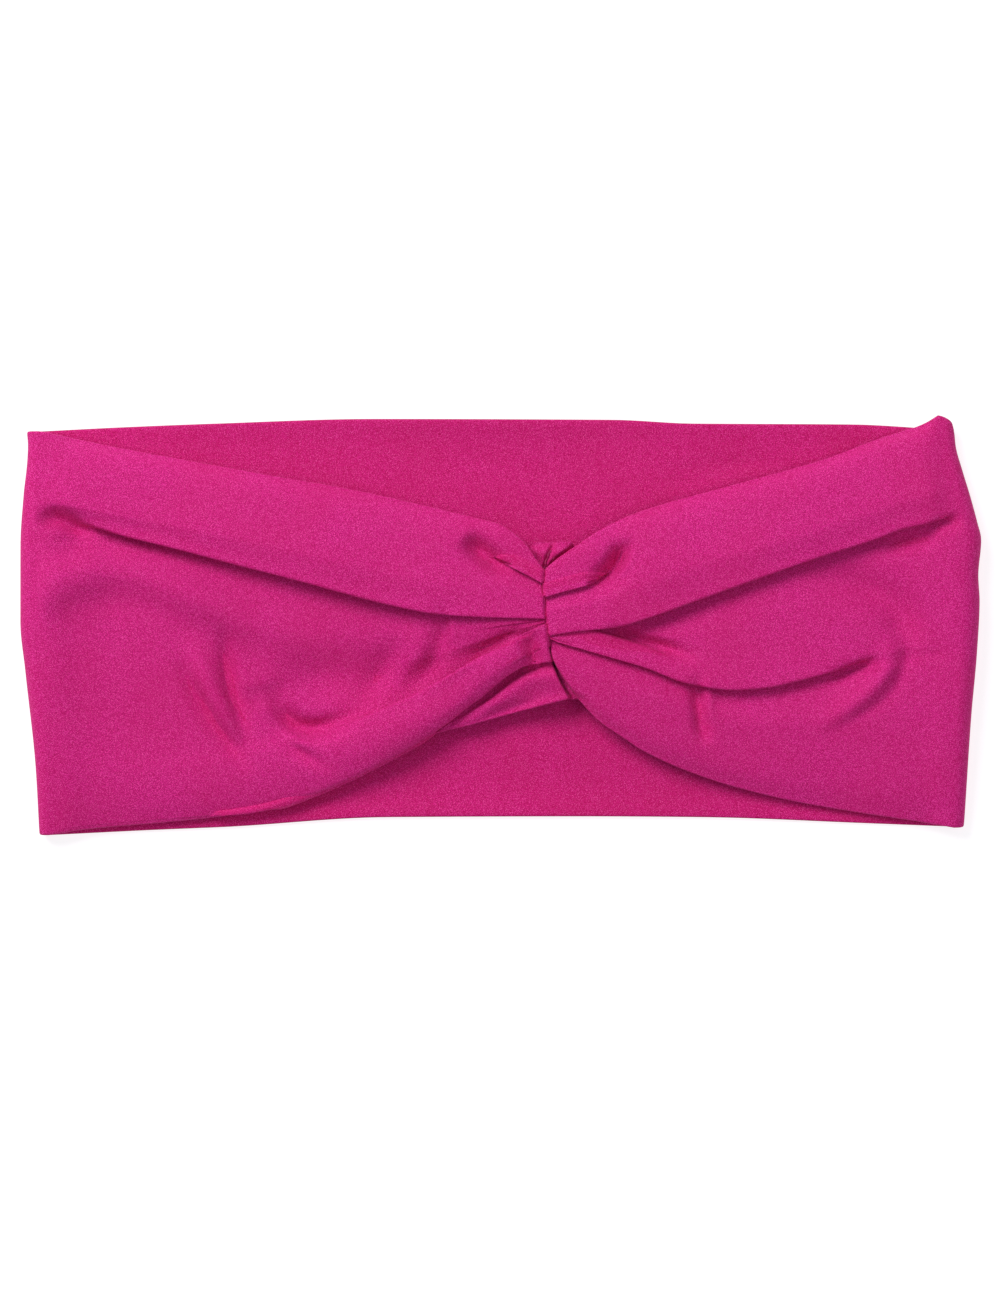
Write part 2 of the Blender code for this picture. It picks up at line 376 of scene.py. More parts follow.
# %% The section of the left half
DIP_WIDTH = 4.5
STRAP_ROLL = 1.6
STRAP_CREST = 3.2
STRAP_WIDTH = 2.4
STRAP_ROOM = (0.12, 1.2)


def left_section(u):
    """The control points of the left half's section at u: (y, height, depth below the face)."""
    top, short, main, ridge, lower, bottom = (
        along(-1, points)(u)
        for points in (LEFT_TOP, LEFT_SHORT, LEFT_MAIN, LEFT_RIDGE, LEFT_LOWER, LEFT_BOTTOM)
    )
    top_edge, main_lip, main_low, low_edge, field_crown, roll, dip, tight = (
        through(points)(u) for points in LEFT_HEIGHTS.values()
    )
    puff = PUFF - PUFF_LOST * grown(u, start=0.75, over=0.2)
    strap_roll = STRAP_ROLL * grown(u, start=0.76, over=0.12)
    short_amount = grown(u, start=0.87, over=0.075)
    main_amount = grown(u, start=0.05, over=0.14)
    ridge_amount = grown(u, start=0.5, over=0.28)
    lower_amount = grown(u, start=0.42, over=0.1) * (1 - 0.5 * grown(u, start=0.94, over=0.06))
    middle, half_roll = (ridge + lower) / 2, (ridge - lower) / 2

    def flap(y):
        return flap_height(y, top, main, top_edge, main_lip, puff)

    def ground(y):
        level = mix(main_low, low_edge, down(y, main, bottom))
        return level + field_crown * crown(y, main, bottom)

    def field(y):
        return ground(y) + roll * np.exp(-(((y - middle) / half_roll) ** 4))

    def valley(y):
        return field(y) - dip * np.exp(-(((y - ridge) / DIP_WIDTH) ** 2))

    def strap(y):
        crest = np.exp(-(((lower - STRAP_CREST - y) / STRAP_WIDTH) ** 2))
        return mix(field(y), low_edge + strap_roll * (crest - 0.3), lower_amount)

    def main_step(y):
        return mix(main_lip, np.maximum(ground(y), main_low), past(y, main))

    flap_room, small_room = room(short, main), room(top, short)
    valley_room, roll_room = room(main, ridge), room(ridge, lower, 0.25)
    strap_room = np.clip(room(lower, bottom, 0.25), *STRAP_ROOM)
    short_lip = flap(short) + SHORT_LIFT
    ridge_lip, lower_lip = ground(ridge) + roll, ground(lower) + 0.5 * roll
    short_fold = fold(
        short, short_lip, short_lip - SHORT_STEP, 2.2, short_amount, small_room, flap_room,
        flap, 1, TIGHT_LIP,
    )
    main_fold = fold(
        main, main_lip, main_low, 5 * main_amount, main_amount, flap_room, valley_room,
        main_step, 1, tight,
    )
    ridge_fold = fold(
        ridge, ridge_lip, ground(ridge) - dip, 4.5 * ridge_amount, ridge_amount, roll_room,
        valley_room, field, -1, tight,
    )
    lower_fold = fold(
        lower, lower_lip, low_edge - strap_roll, 3.5 * lower_amount, lower_amount, roll_room,
        strap_room, field, 1, tight,
    )
    return [
        *edge(top, top_edge, -1),
        *panel(top - EDGE_FLAT, short + small_room, flap, 3),
        *short_fold,
        *panel(short - flap_room, main + flap_room, flap, 5),
        *main_fold,
        *panel(main - valley_room, ridge + valley_room, valley, 9),
        *ridge_fold,
        *panel(ridge - roll_room, lower + roll_room, field, 3),
        *lower_fold,
        *panel(lower - strap_room, bottom + EDGE_FLAT, strap, 6),
        *edge(bottom, low_edge, 1)[::-1],
    ]


print("control points in the left half's section:", len(left_section(np.array([0.5]))))

# %% [markdown]
# ## The right half
#
# The right half has three pleats that all lap downwards like roof tiles: a short one near the
# upper edge, the main one, and a sharp lower one that comes out of the same point of the seam.

# %% Creases and heights of the right half
RIGHT_TOP = [
    (110, 50.3), (106.6, 50.2), (99.2, 47.5), (92, 45.3), (77.3, 39.8), (55.3, 33.6), (33.2, 27.3),
    (25.1, 23.7), (17.6, 18.9), (10.3, 13.4),
]
RIGHT_SHORT = [
    (110, 43), (77, 34), (55, 29), (38, 23), (31, 19.5), (28, 15.6), (25, 12), (22, 10.3), (18, 9),
    (14, 8), (10.4, 6.9),
]
RIGHT_MAIN = [
    (112, 26.6), (106.6, 25.4), (95.6, 23), (88.3, 20.3), (77.3, 16.8), (62.5, 11.7), (47.9, 6.5),
    (34.4, 1.7), (26.8, -0.4), (17.3, -1.3), (11.3, -2.3),
]
RIGHT_LAP = [
    (110, -6), (98, -7), (89, -8.3), (80.9, -10.4), (69.9, -13.3), (62.6, -14.8), (55.2, -15.3),
    (44.2, -13.7), (34, -9.9), (24.9, -7.2), (19.2, -5.5), (13.4, -3.8), (11.3, -2.9),
]
RIGHT_BOTTOM = [
    (111, -48.2), (99.3, -46.7), (84.6, -44.5), (69.9, -41.9), (55.2, -38.3), (44.2, -34.6),
    (33.2, -29.5), (29.9, -27.3), (23, -22.5), (18, -17.2),
]
RIGHT_HEIGHTS = {
    "top edge": TOP_EDGE,
    "main lip": [(0, 8.4), (0.1, 9), (0.4, 9.2), (0.7, 10), (0.95, 10.2), (1, 10)],
    "below it": [
        (0, 8.4), (0.06, 7.5), (0.14, 6), (0.3, 5.4), (0.6, 6), (0.75, 5.8), (0.84, 6),
        (0.92, 8.6), (1, 9.2),
    ],
    "lap lip": [(0, 8), (0.2, 7.6), (0.4, 7.8), (0.7, 8.6), (0.95, 9.4), (1, 9.4)],
    "below the lap": [
        (0, 7.9), (0.2, 6), (0.4, 4.6), (0.65, 5.4), (0.85, 7.4), (0.95, 8.4), (1, 8.4),
    ],
    "low edge": [(0, 4.8), (0.1, 3.4), (0.25, 3.2), (0.5, 4.2), (0.75, 6), (0.95, 7.6), (1, 8)],
    "lip radius": [(0, LIP), (0.65, LIP), (0.9, TIGHT_LIP), (1, TIGHT_LIP)],
}
print("lines of height on the right half:", len(RIGHT_HEIGHTS))

# %% The section of the right half
TAIL_CROWN = 1.9


def right_section(u):
    """The control points of the right half's section at u: (y, height, depth below the face)."""
    top, short, main, lap, bottom = (
        along(1, points)(u)
        for points in (RIGHT_TOP, RIGHT_SHORT, RIGHT_MAIN, RIGHT_LAP, RIGHT_BOTTOM)
    )
    top_edge, main_lip, main_low, lap_lip, lap_low, low_edge, tight = (
        through(points)(u) for points in RIGHT_HEIGHTS.values()
    )
    puff = PUFF - PUFF_LOST * grown(u, start=0.7, over=0.2)
    short_amount = grown(u, start=0.815, over=0.095)
    main_amount = grown(u, start=0, over=0.1)
    lap_amount = grown(u, start=0.19, over=0.13)

    def flap(y):
        return flap_height(y, top, main, top_edge, main_lip, puff)

    def middle(y):
        return mix(main_low, lap_lip, down(y, main, lap) ** FLAP_RISE)

    def tail(y):
        return mix(lap_low, low_edge, down(y, lap, bottom)) + TAIL_CROWN * crown(y, lap, bottom)

    def main_step(y):
        return mix(main_lip, middle(y), past(y, main))

    def lap_step(y):
        return mix(lap_lip, tail(y), past(y, lap))

    flap_room, small_room = room(short, main), room(top, short)
    lap_room, tail_room = room(main, lap), room(lap, bottom, 0.2)
    short_lip = flap(short) + SHORT_LIFT
    short_fold = fold(
        short, short_lip, short_lip - SHORT_STEP, 2.5, short_amount, small_room, flap_room,
        flap, 1, TIGHT_LIP,
    )
    main_fold = fold(
        main, main_lip, main_low, 5 * main_amount, main_amount, flap_room, lap_room,
        main_step, 1, tight,
    )
    lap_fold = fold(
        lap, lap_lip, lap_low, 4.5 * lap_amount, lap_amount, lap_room, tail_room,
        lap_step, 1, tight,
    )
    return [
        *edge(top, top_edge, -1),
        *panel(top - EDGE_FLAT, short + small_room, flap, 3),
        *short_fold,
        *panel(short - flap_room, main + flap_room, flap, 5),
        *main_fold,
        *panel(main - lap_room, lap + lap_room, middle, 6),
        *lap_fold,
        *panel(lap - tail_room, bottom + EDGE_FLAT, tail, 7),
        *edge(bottom, low_edge, 1)[::-1],
    ]


print("control points in the right half's section:", len(right_section(np.array([0.5]))))

# %% [markdown]
# ## Soft dents
#
# Between the pleats the cloth is not a plain surface: it dips where a pleat dies out and
# swells where it is pushed. Each dent is a short stroke through a few (x, y) points, with a
# depth and a width. A depth below 0 is a swelling.

# %% Strokes that push the cloth down or up
LEFT_DENTS = [
    ([(-112, 22), (-108, 26), (-104, 25.5), (-100, 22.5), (-96, 21)], 3.4, 2.2),
    ([(-112, 20), (-100, 18.8), (-84, 16)], 1.4, 1.6),
    ([
        (-125, -4), (-114, 4), (-105, 11), (-96, 14), (-87, 13.5), (-77, 9), (-66, 3.5),
        (-54, -2), (-34, -9),
    ], -4, 5),
    ([(-60, -12), (-38, -14), (-14, -8)], 2.6, 6.5),
    ([(-79, -5), (-74, -15), (-69.5, -23), (-64, -30), (-58, -37)], 2.2, 1.5),
    ([(-66.5, 3), (-66, -7), (-64.5, -15), (-62, -23), (-59, -32)], 2.8, 1.6),
    ([(-64, -15), (-58, -21), (-52, -27.5), (-46, -31.8), (-38, -36)], 2.0, 1.5),
    ([(-75, 2), (-71, -12), (-66, -22), (-57, -31)], -2.0, 2.6),
    ([(-64, -18), (-57, -17), (-48, -14)], 1.2, 1.8),
    ([(-59, -15), (-56, -23), (-50.5, -28), (-41, -29.5)], -1.5, 1.7),
    ([(-57, -14), (-53, -21.5), (-48, -25), (-41, -24.6), (-30, -19)], 4.0, 2.4),
    ([(-15, 8), (-13.6, 0), (-15, -7), (-19.5, -13), (-29, -21)], 2.0, 2.6),
    ([(-24, 0), (-28, -12), (-38, -23)], 1.2, 3),
    ([(-12, 4), (-11.6, -1), (-12.6, -6)], -0.8, 0.9),
    ([(-11, -10), (-2, -4.5), (8, 0)], 1.4, 1.4),
    ([(-10, 22), (-6, 18.4), (-2, 15.4), (4, 12)], 4.2, 2.6),
    ([(5, 0), (6.8, -4.6), (8, -8), (8, -12)], 2.8, 2.0),
    ([(-8, -23.4), (2, -20.4), (12, -17.5)], 1.0, 1.6),
]
RIGHT_DENTS = [
    ([(118, 28), (108, 24.4), (99, 23)], 1.4, 1.7),
    ([(106, 21.6), (99, 20.8), (88, 18)], 2.2, 1.7),
    ([(22, -0.8), (31, -3), (38, -4.8), (50, -9)], 3.4, 1.7),
    ([(46.4, -9), (46.8, -18), (47.6, -24), (49, -30)], 2.2, 1.6),
    ([(49.5, -10), (49, -17), (50, -25)], -0.8, 1.2),
    ([(76, -13), (84, -10.6), (92, -8)], 1.4, 1.6),
    ([(93, 2), (93.5, -8), (90, -14), (84, -19), (71, -27)], -2.4, 2.8),
    ([(97, 0), (97, -9), (92.4, -16), (85, -21.5), (73, -29)], 0.8, 1.8),
    ([(68, 12), (84, 11), (94, 6), (97, -2), (95, -14)], 3, 4.2),
    ([(30, 21.5), (28.4, 16), (25.6, 12), (19, 8.2)], 4.8, 2.4),
    ([(32, 21), (31, 15.5), (28, 11.6), (20, 7)], -1.4, 0.9),
]
TUCK_DENTS = [
    ([(8.5, 11.5), (12.5, 14.4), (16, 17.4), (21, 21.5)], 2.6, 0.9),
    ([(2, 23), (6, 19), (9.6, 13.8)], 1.8, 1.1),
    ([(9, 22), (11, 20.6), (13, 20.8)], 1.2, 1.4),
]
print("strokes:", len(LEFT_DENTS) + len(RIGHT_DENTS) + len(TUCK_DENTS))

# %% What a stroke does to the cloth
STROKE_STEPS = 24
STROKE_FADE = 0.4
WAVES = [
    (0.11, 0.05, 0.3, 0.14), (-0.07, 0.13, 1.7, 0.12), (0.19, -0.11, 4.1, 0.07),
    (0.05, 0.23, 2.6, 0.06),
]


def stroke(x, y, points, depth, width):
    """The push of one stroke at each (x, y). It fades towards both ends of the stroke."""
    line = spline_weights(len(points), STROKE_STEPS) @ np.array(points, float)
    nearest = np.full(x.shape, 1e9)
    at = np.zeros(x.shape)
    for i, ((ax, ay), (bx, by)) in enumerate(zip(line, line[1:])):
        dx, dy = bx - ax, by - ay
        t = np.clip(((x - ax) * dx + (y - ay) * dy) / (dx * dx + dy * dy), 0, 1)
        away = np.hypot(x - ax - t * dx, y - ay - t * dy)
        at = np.where(away < nearest, (i + t) / (STROKE_STEPS - 1), at)
        nearest = np.minimum(nearest, away)
    fade = ease(np.minimum(at, 1 - at) / STROKE_FADE)
    return depth * fade * np.exp(-((nearest / width) ** 2))


def dents(x, y, strokes):
    """How far the strokes push the cloth down at each (x, y)."""
    return sum(stroke(x, y, *settings) for settings in strokes)


def swell(x, y):
    """The slow unevenness of a soft cloth that was laid down by hand."""
    return sum(size * np.sin(a * x + b * y + start) for a, b, start, size in WAVES)


print("most unevenness, mm:", sum(size for *_, size in WAVES))

# %% [markdown]
# ## From sections to a surface
#
# Each half is a grid of points. Its first rows run round the side fold, from the underside up,
# and the rest follow the sections to the seam. In its last millimetre the cloth dives into the
# seam, like a pillow at its edge.

# %% The points of a half
TURN_ROWS = 14
PANEL_ROWS = 130
ROW_CROWDING = 1.4
ACROSS = 280
FOLD_SHARE = 0.07
CALM_SHARE = 0.012
DIVE_SHARE = 0.006
DIVE_DEPTH = 1.8
LOWEST = 1.1


def half_points(side, section, strokes):
    """Arrays of x, y and height for a half, and how far each point lies inside the face."""
    u = 1 - (1 - np.linspace(0, 1, PANEL_ROWS)) ** ROW_CROWDING
    controls = [(p + (0.0,))[:3] for p in section(u)]
    net = np.array([[np.broadcast_to(value, u.shape) for value in p] for p in controls])
    weights = spline_weights(len(controls), ACROSS)
    y, height, depth = np.einsum("sc,cku->kus", weights, net)
    share = np.broadcast_to(u[:, None], y.shape)
    x = mix(fold_line(side, y), seam_line(side, y), share)
    height = mix(2 * fold_radius(y), height, ease(share / FOLD_SHARE))
    height = height + (swell(x, y) - dents(x, y, strokes)) * ease(share / CALM_SHARE)
    dive = np.clip((share - (1 - DIVE_SHARE)) / DIVE_SHARE, 0, 1)
    height = height - DIVE_DEPTH * (1 - np.sqrt(1 - dive**2 + 1e-9))
    return x, y, height, depth


def with_turn(side, panel_points):
    """Adds the rows that run round the side fold, from the underside to the panel."""
    x, y, height, depth = panel_points
    first, inside = y[0], depth[0]
    place = (first - first.min()) / (first.max() - first.min())
    low = mix(FRONT_BOTTOM(side * FRONT_END), FRONT_TOP(side * FRONT_END), place)
    rows = []
    for angle in np.linspace(math.pi, 0, TURN_ROWS, endpoint=False):
        turned_y = mix(low, first, (1 + math.cos(angle)) / 2)
        radius = fold_radius(turned_y)
        reach = radius - inside
        turned_x = fold_line(side, turned_y) + side * reach * math.sin(angle)
        rows.append((turned_x, turned_y, radius + reach * math.cos(angle)))
    turn = np.array(rows).transpose(1, 0, 2)
    return np.concatenate([turn, np.array([x, y, np.maximum(height - depth, LOWEST)])], axis=1)


left_face = with_turn(-1, half_points(-1, left_section, LEFT_DENTS))
right_face = with_turn(1, half_points(1, right_section, RIGHT_DENTS))
print("left half:", left_face.shape, "right half:", right_face.shape)

# %% [markdown]
# The front half is the same strip on its way from one side to the other. Its outer knit faces
# the table, and wraps up round both long edges. Its lining faces up and shows above and below
# the gathered half, darker there because its colours carry painted shade. It has a few
# shallow dips of its own.

# %% The points of the front half
FRONT_ROWS = 150
FRONT_COLUMNS = 110
FRONT_SPANS = 14
INNER_FACE = 1.0
CURL = 0.6
CURL_WIDTH = 3.5
FRONT_DENTS = [
    ([(36, 36), (45, 38), (60, 39.5), (72, 39)], 0.4, 2.0),
    ([(36, 33), (46, 35), (60, 38)], 0.25, 1.4),
    ([(-40, 44), (5, 37), (40, 41)], 0.3, 6.0),
    ([(-30, -38), (10, -33), (50, -42)], 0.3, 6.0),
]


def front_rows(inset, face, turned):
    """x, y and height of a layer of the front half.

    It is flat, at the height face, and turns at both edges through turned, a list of (how
    far in from the edge, height). inset is the share of the width that each turn takes.
    """
    rows = []
    for u in np.linspace(0, 1, FRONT_ROWS):
        x = mix(-FRONT_END, FRONT_END, u)
        low, high = FRONT_BOTTOM(x), FRONT_TOP(x)
        controls = [(low + step, rise) for step, rise in turned]
        controls += [(mix(low, high, t), face) for t in np.linspace(inset, 1 - inset, FRONT_SPANS)]
        controls += [(high - step, rise) for step, rise in turned[::-1]]
        y, height = (spline_weights(len(controls), FRONT_COLUMNS) @ np.array(controls, float)).T
        to_edge = np.minimum(y - low, high - y)
        curl = CURL * math.sin(math.pi * u) ** 0.5 * np.exp(-((to_edge / CURL_WIDTH) ** 2))
        rows.append((mix(fold_line(-1, y), fold_line(1, y), u), y, height + curl))
    return np.array(rows).transpose(1, 0, 2)


front_face = front_rows(0.02, 0.0, [(0.1, 0.45), (0.05, 0.15)])
front_inside = front_rows(0.01, INNER_FACE, [(0.1, 0.5), (0.0, 0.8)])
front_inside[2] -= dents(front_inside[0], front_inside[1], FRONT_DENTS)
print("front half:", front_face.shape)

# %% [markdown]
# ## Turning points into cloth
#
# A grid from bmesh has the right faces already. Its vertices are moved to the points, and it
# gets a UV map in metres of cloth, so that the knit follows every fold. Solidify then gives it
# the thickness of the knit, on the side away from its face.

# %% A piece of cloth
KNIT = 0.45


def cloth(name, points, flip, flat_size, thickness=KNIT):
    """A sheet whose vertices are points, an array of 3 by rows by columns in millimetres.

    flip turns its faces over. flat_size is its cut size in metres, which its UV map covers.
    """
    _, rows, columns = points.shape
    bm = bmesh.new()
    bmesh.ops.create_grid(bm, x_segments=rows - 1, y_segments=columns - 1, size=0.5)
    uv = bm.loops.layers.uv.new("cloth")
    for face in bm.faces:
        for corner in face.loops:
            corner[uv].uv = (corner.vert.co.x * flat_size[0], corner.vert.co.y * flat_size[1])
    for vert in bm.verts:
        row = round((vert.co.x + 0.5) * (rows - 1))
        column = round((vert.co.y + 0.5) * (columns - 1))
        vert.co = points[:, row, column] * MM
    if flip:
        bmesh.ops.reverse_faces(bm, faces=bm.faces[:])
    mesh = bpy.data.meshes.new(name)
    bm.to_mesh(mesh)
    bm.free()
    mesh.shade_smooth()
    piece = bpy.data.objects.new(name, mesh)
    scene.collection.objects.link(piece)
    wall = piece.modifiers.new("knit_thickness", "SOLIDIFY")
    wall.thickness = thickness * MM
    wall.offset = -1
    print(name, len(mesh.polygons), "faces")
    return piece


HALF_FLAT = {"left": (0.138, 0.100), "right": (0.112, 0.100)}
FRONT_FLAT = (0.218, 0.100)
outer = {
    "left": cloth("outer_knit_left", left_face, True, HALF_FLAT["left"]),
    "right": cloth("outer_knit_right", right_face, False, HALF_FLAT["right"]),
    "front": cloth("outer_knit_front", front_face, True, FRONT_FLAT),
}

# %% [markdown]
# The lining lies just inside the outer knit and takes the same folds, so its points are the
# outer ones moved inwards. It comes closer to the outer knit towards the seam, where the
# pleats are too tight for a gap, and it stops at the turned edges.

# %% The lining
LINING_DEPTH = 1.0
LINING_CLOSER = 0.45
EDGE_COLUMNS = 14
LINING_GAP = 0.05


def lining_of(side, points):
    """The inner face of a half's lining, at every second point of the half's face."""
    rows, columns = np.gradient(points, axis=1), np.gradient(points, axis=2)
    inward = -side * np.cross(rows, columns, axis=0)
    inward /= np.linalg.norm(inward, axis=0) + 1e-9
    share = np.clip((np.arange(points.shape[1]) - TURN_ROWS) / PANEL_ROWS, 0, 1)
    depth = LINING_DEPTH * (1 - LINING_CLOSER * grown(share, start=0.5, over=0.25))
    moved = points + depth[:, None] * inward
    moved[2] = np.maximum(moved[2], INNER_FACE - LINING_GAP)
    return moved[:, ::2, EDGE_COLUMNS:-EDGE_COLUMNS:2]


lining = {
    "front": cloth("lining_knit_front", front_inside, False, FRONT_FLAT),
    "left": cloth("lining_knit_left", lining_of(-1, left_face), False, HALF_FLAT["left"]),
    "right": cloth("lining_knit_right", lining_of(1, right_face), True, HALF_FLAT["right"]),
}

# %% [markdown]
# ## The gathered seam
#
# The raw ends of both halves are pressed open under the seam, one to each side, and they show
# as two small tucks at its upper and lower end. A gathered raw end is a short ruffled strip.
# Under it lies a tape of clear elastic, and an overlock thread binds each raw edge.

# %% A strip under the seam
SEAM_LOW, SEAM_HIGH = -17.6, 20.0
SEAM_MIDDLE = 1.2
RUFFLES = 9
NARROWING = 0.45
NARROW_FROM, NARROW_OVER = 11, 7.8
DROOP = 0.8
DROOP_FROM, DROOP_OVER = 15, 4
GROOVE = 1.1
GROOVE_WIDTH = 0.55


def under_seam(near, far, height, ripple, rows, columns=120):
    """Points of a ruffled strip under the seam, from near to far beside it.

    It narrows and droops towards both ends of the seam, and a groove runs under the stitches.
    """
    across = np.linspace(0, 1, rows)[:, None] * np.ones(columns)
    y = np.linspace(SEAM_LOW, SEAM_HIGH, columns)[None, :] * np.ones((rows, 1))
    from_middle = np.abs(y - SEAM_MIDDLE)
    width = 1 - NARROWING * np.clip((from_middle - NARROW_FROM) / NARROW_OVER, 0, 1) ** 2
    x = SEAM(y) + near + across * (far - near) * width
    wave = np.sin(y * 2 * math.pi * RUFFLES / (SEAM_HIGH - SEAM_LOW) + across)
    droop = DROOP * np.clip((from_middle - DROOP_FROM) / DROOP_OVER, 0, 1) ** 2
    groove = GROOVE * np.exp(-(((x - SEAM(y)) / GROOVE_WIDTH) ** 2))
    lowered = droop + groove + dents(x, y, TUCK_DENTS)
    return np.array([x, y, height + ripple * wave * (0.3 + across) - lowered])


print("seam, mm:", round(SEAM_HIGH - SEAM_LOW, 1))

# %% The ruffled raw ends and the elastic
SIDES = {"left": -1, "right": 1}
RAW_END_WIDTH = 8.0
RAW_END_HEIGHT = 6.2
RAW_END_THICKNESS = 1.0
RAW_END_FLAT = (0.010, 0.040)
ELASTIC_HALF = 3.0
ELASTIC_HEIGHT = 4.6
ELASTIC_THICKNESS = 0.25
ELASTIC_FLAT = (0.006, 0.034)
ELASTIC_COLUMNS = slice(6, -10)

raw_ends = {}
for word, side in SIDES.items():
    points = under_seam(0, side * RAW_END_WIDTH, RAW_END_HEIGHT, ripple=0.35, rows=40)
    raw_ends[word] = cloth(f"raw_end_{word}", points, side < 0, RAW_END_FLAT, RAW_END_THICKNESS)
points = under_seam(-ELASTIC_HALF, ELASTIC_HALF, ELASTIC_HEIGHT, ripple=0.12, rows=12)
points = points[:, :, ELASTIC_COLUMNS]
elastic = cloth("clear_elastic_tape", points, False, ELASTIC_FLAT, ELASTIC_THICKNESS)

# %% [markdown]
# ## Threads
#
# A thread is a curve with a round bevel, made a mesh so that it can bend with the cloth. A
# gathering thread is a running stitch, over and under the cloth, so it follows a wave. An
# overlock thread loops round the raw edge.

# %% A thread along points
def thread(name, points, diameter):
    """A mesh thread through points, an array of rows of (x, y, z) in millimetres."""
    curve = bpy.data.curves.new(name, "CURVE")
    curve.dimensions = "3D"
    curve.bevel_depth = diameter / 2 * MM
    curve.bevel_resolution = 2
    curve.use_fill_caps = True
    line = curve.splines.new("POLY")
    line.points.add(len(points) - 1)
    for spot, co in zip(line.points, points):
        spot.co = (*(co * MM), 1)
    drawn = bpy.data.objects.new(name + "_line", curve)
    scene.collection.objects.link(drawn)
    bpy.context.view_layer.update()
    seen = drawn.evaluated_get(bpy.context.evaluated_depsgraph_get())
    mesh = bpy.data.meshes.new_from_object(seen)
    bpy.data.objects.remove(drawn)
    bm = bmesh.new()
    bm.from_mesh(mesh)
    bmesh.ops.remove_doubles(bm, verts=bm.verts[:], dist=0.01 * MM)
    bmesh.ops.recalc_face_normals(bm, faces=bm.faces[:])
    bm.to_mesh(mesh)
    bm.free()
    mesh.name = name
    mesh.shade_smooth()
    piece = bpy.data.objects.new(name, mesh)
    scene.collection.objects.link(piece)
    print(name, len(mesh.polygons), "faces")
    return piece


# %% The threads at the gathered seam
SEAM_THREAD = 0.3
FINE_THREAD = 0.22
THREAD_LOW, THREAD_HIGH = SEAM_LOW + 1.5, SEAM_HIGH - 2
STITCH_HEIGHT = 5.6
GATHER_AWAY = 1.6
OVERLOCK_AWAY = RAW_END_WIDTH - 0.5
MIDDLE_OF_RAW_END = RAW_END_HEIGHT - RAW_END_THICKNESS / 2
POINTS_A_STITCH = 10


def seam_thread(name, offset, height, sway, rise, stitches, diameter=FINE_THREAD):
    """A thread beside the seam that sways sideways and rises with each stitch."""
    y = np.linspace(THREAD_LOW, THREAD_HIGH, stitches * POINTS_A_STITCH)
    phase = np.linspace(0, 2 * math.pi * stitches, len(y))
    x = SEAM(y) + offset + sway * np.cos(phase)
    return thread(name, np.array([x, y, height + rise * np.sin(phase)]).T, diameter)


seam_stitches = seam_thread(
    "seam_stitches", 0, STITCH_HEIGHT, sway=0.12, rise=0.2, stitches=19, diameter=SEAM_THREAD,
)
gathering, overlock = {}, {}
for word, side in SIDES.items():
    gathering[word] = seam_thread(
        f"gathering_stitches_{word}", side * GATHER_AWAY, MIDDLE_OF_RAW_END,
        sway=0.05, rise=0.75, stitches=13,
    )
    overlock[word] = seam_thread(
        f"overlock_stitches_{word}", side * OVERLOCK_AWAY, MIDDLE_OF_RAW_END,
        sway=0.9, rise=0.8, stitches=24,
    )

# %% [markdown]
# The seam of a long edge lies inside the turn, between the two layers. Its thread follows the
# column of points in the middle of the turned edge, and stops short of the gathered seam.

# %% The edge seams inside the strip
EDGE_THREAD = 0.3
ROWS_SHORT = 6
EDGE_COLUMN = 2


def edge_threads(word, top, bottom):
    """The threads along the two edges of a stretch, from the edge columns top and bottom."""
    return [
        thread(f"{place}_edge_stitches_{word}", column[:, ::2].T, EDGE_THREAD)
        for place, column in (("top", top), ("bottom", bottom))
    ]


first, last = EDGE_COLUMN, -EDGE_COLUMN - 1
trimmed = {"left": left_face[:, :-ROWS_SHORT], "right": right_face[:, :-ROWS_SHORT]}
edge_seams = {
    word: edge_threads(word, face[:, :, first], face[:, :, last])
    for word, face in trimmed.items()
}
edge_seams["front"] = edge_threads("front", front_face[:, :, last], front_face[:, :, first])

# %% [markdown]
# ## Materials
#
# Both knits are nylon and elastane jersey. The outer face is lightly brushed, so it is matte
# with a soft sheen where it turns away from the eye. Seen close, a jersey is a field of small
# loops, and from arm's length these break up into a fine, even grain. Paler specks painted
# into the colour stand for the loops that stand proudest and catch the light: a painted glint.

# %% Colours and nodes
def linear(code):
    """An sRGB hex colour as linear RGBA."""
    parts = [int(code[i:i + 2], 16) / 255 for i in (1, 3, 5)]
    return [c / 12.92 if c <= 0.04045 else ((c + 0.055) / 1.055) ** 2.4 for c in parts] + [1]


def add_node(tree, kind, settings, inputs):
    """Adds a node. inputs gives a value or another node's output for each named input."""
    node = tree.nodes.new(kind)
    for key, value in settings.items():
        setattr(node, key, value)
    for key, value in inputs.items():
        if isinstance(value, bpy.types.NodeSocket):
            tree.links.new(value, node.inputs[key])
        else:
            node.inputs[key].default_value = value
    return node


print("mid grey as linear light:", round(linear("#808080")[0], 3))

# %% [markdown]
# The knit's material mixes two colours by a fine noise, as wide as one leg of a loop. On the
# peaks of that noise it mixes in a paler pink, a painted glint of the loops that catch the
# light, and it lets the dye vary slowly over the cloth. The noise is turned, because a noise
# cut along its own lattice shows rows. The wales, the knit's fine ribs, follow the cloth
# through its UV map. Real ones are about half a millimetre apart, and these are drawn
# coarser, so that they show.

# %% The knit
GRAIN_MM = 0.17
GRAIN_TURN = (0.6, 0.5, 0.4)
MOTTLE_MM = 17
WALE_MM = 0.85
WAVE_UNIT = 0.31
WALE_RELIEF = 0.35
RELIEF_MM = 0.03
MIX_A, MIX_B, MIXED = 6, 7, 2
# Pale pink mixed into the colour on the grain's peaks: a painted glint.
PAINTED_GLINT_COLOUR = "#FA86BE"
SHEEN_COLOUR = "#F7A6CB"


